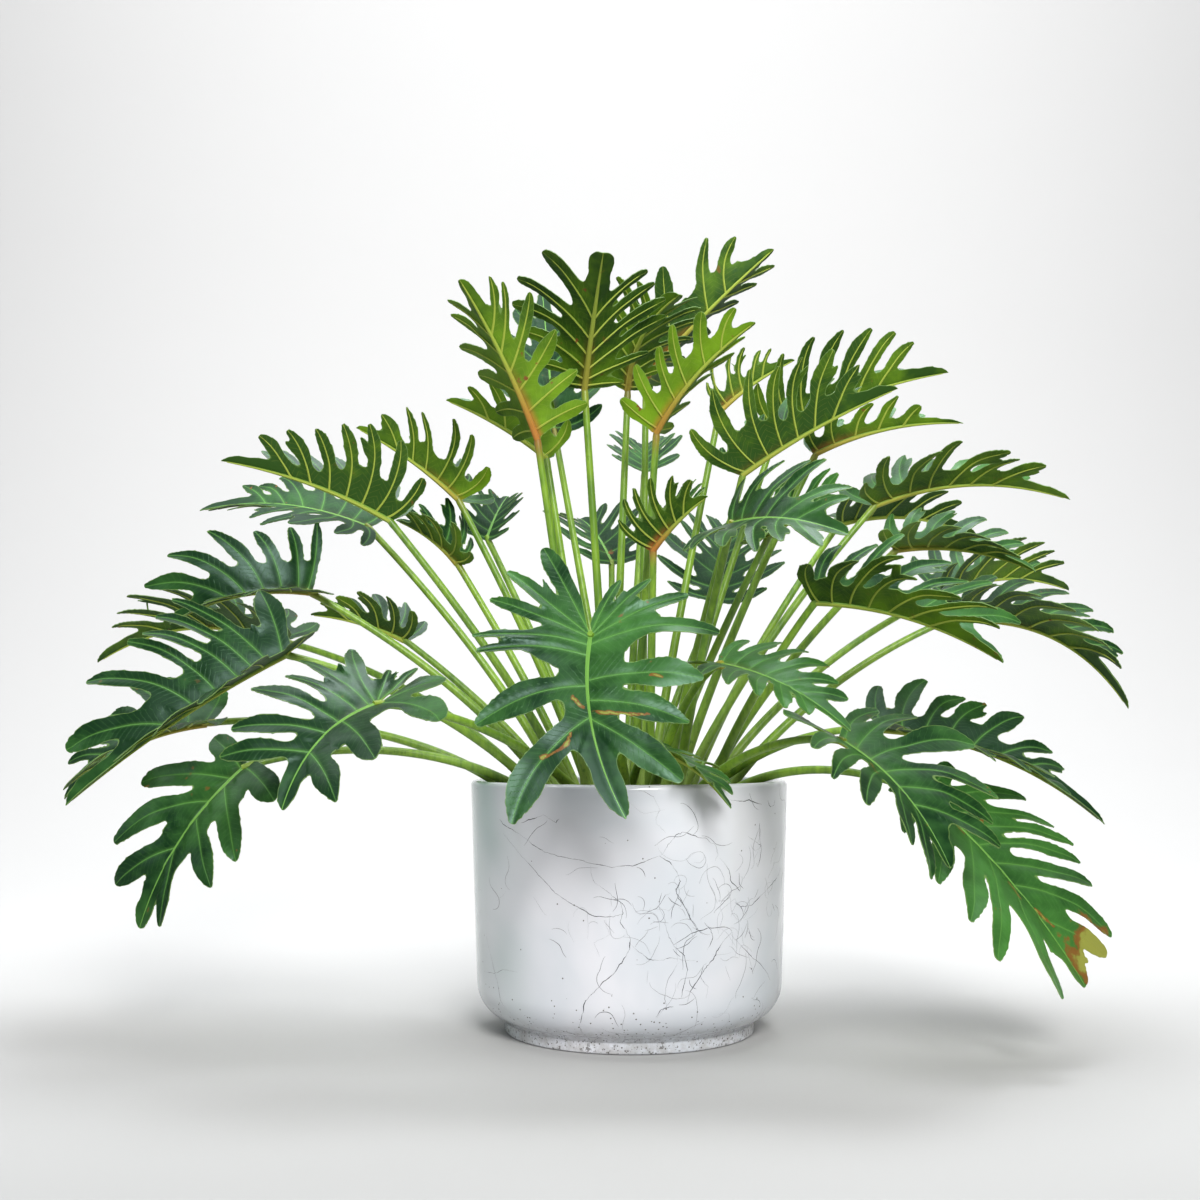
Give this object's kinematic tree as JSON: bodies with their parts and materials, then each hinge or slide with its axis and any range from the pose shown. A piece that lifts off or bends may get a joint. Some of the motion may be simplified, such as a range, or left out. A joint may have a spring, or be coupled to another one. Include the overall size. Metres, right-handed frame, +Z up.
{
  "type": "potted xanadu philodendron",
  "caption": "Bushy house plant with deeply cut leaves on long arching stalks, in a round glazed pot with a small foot.",
  "frame": {"origin": "middle of the pot's flat underside, on the surface that it stands on", "axes": "+Z up the pot's axis, +X to the right as the plant is seen from its front, +Y towards its back"},
  "size_m": [1.0366, 0.5864, 0.7715],
  "materials": {
    "glaze": "gloss",
    "soil": "matte",
    "stem": "matte",
    "leaf": "satin"
  },
  "bodies": {
    "root": {"pot": "glaze", "soil": "soil", "crown_stem": "stem", "leaf_top_1": "leaf", "leaf_top_2": "leaf", "leaf_top_3": "leaf", "leaf_top_4": "leaf", "leaf_top_5": "leaf", "leaf_top_6": "leaf", "leaf_top_7": "leaf", "leaf_top_8": "leaf", "leaf_right_1": "leaf", "leaf_right_2": "leaf", "leaf_right_3": "leaf", "leaf_right_4": "leaf", "leaf_right_5": "leaf", "leaf_right_6": "leaf", "leaf_right_7": "leaf", "leaf_right_8": "leaf", "leaf_right_9": "leaf", "leaf_right_10": "leaf", "leaf_right_11": "leaf", "leaf_right_12": "leaf", "leaf_right_13": "leaf", "leaf_right_14": "leaf", "leaf_right_15": "leaf", "leaf_right_16": "leaf", "leaf_middle_1": "leaf", "leaf_back_1": "leaf", "leaf_back_2": "leaf", "leaf_front_1": "leaf", "leaf_front_2": "leaf", "leaf_left_1": "leaf", "leaf_left_2": "leaf", "leaf_left_3": "leaf", "leaf_left_4": "leaf", "leaf_left_5": "leaf", "leaf_left_6": "leaf", "leaf_left_7": "leaf", "leaf_left_8": "leaf", "leaf_left_9": "leaf", "leaf_left_10": "leaf", "leaf_left_11": "leaf", "leaf_left_12": "leaf"}
  },
  "joints": []
}
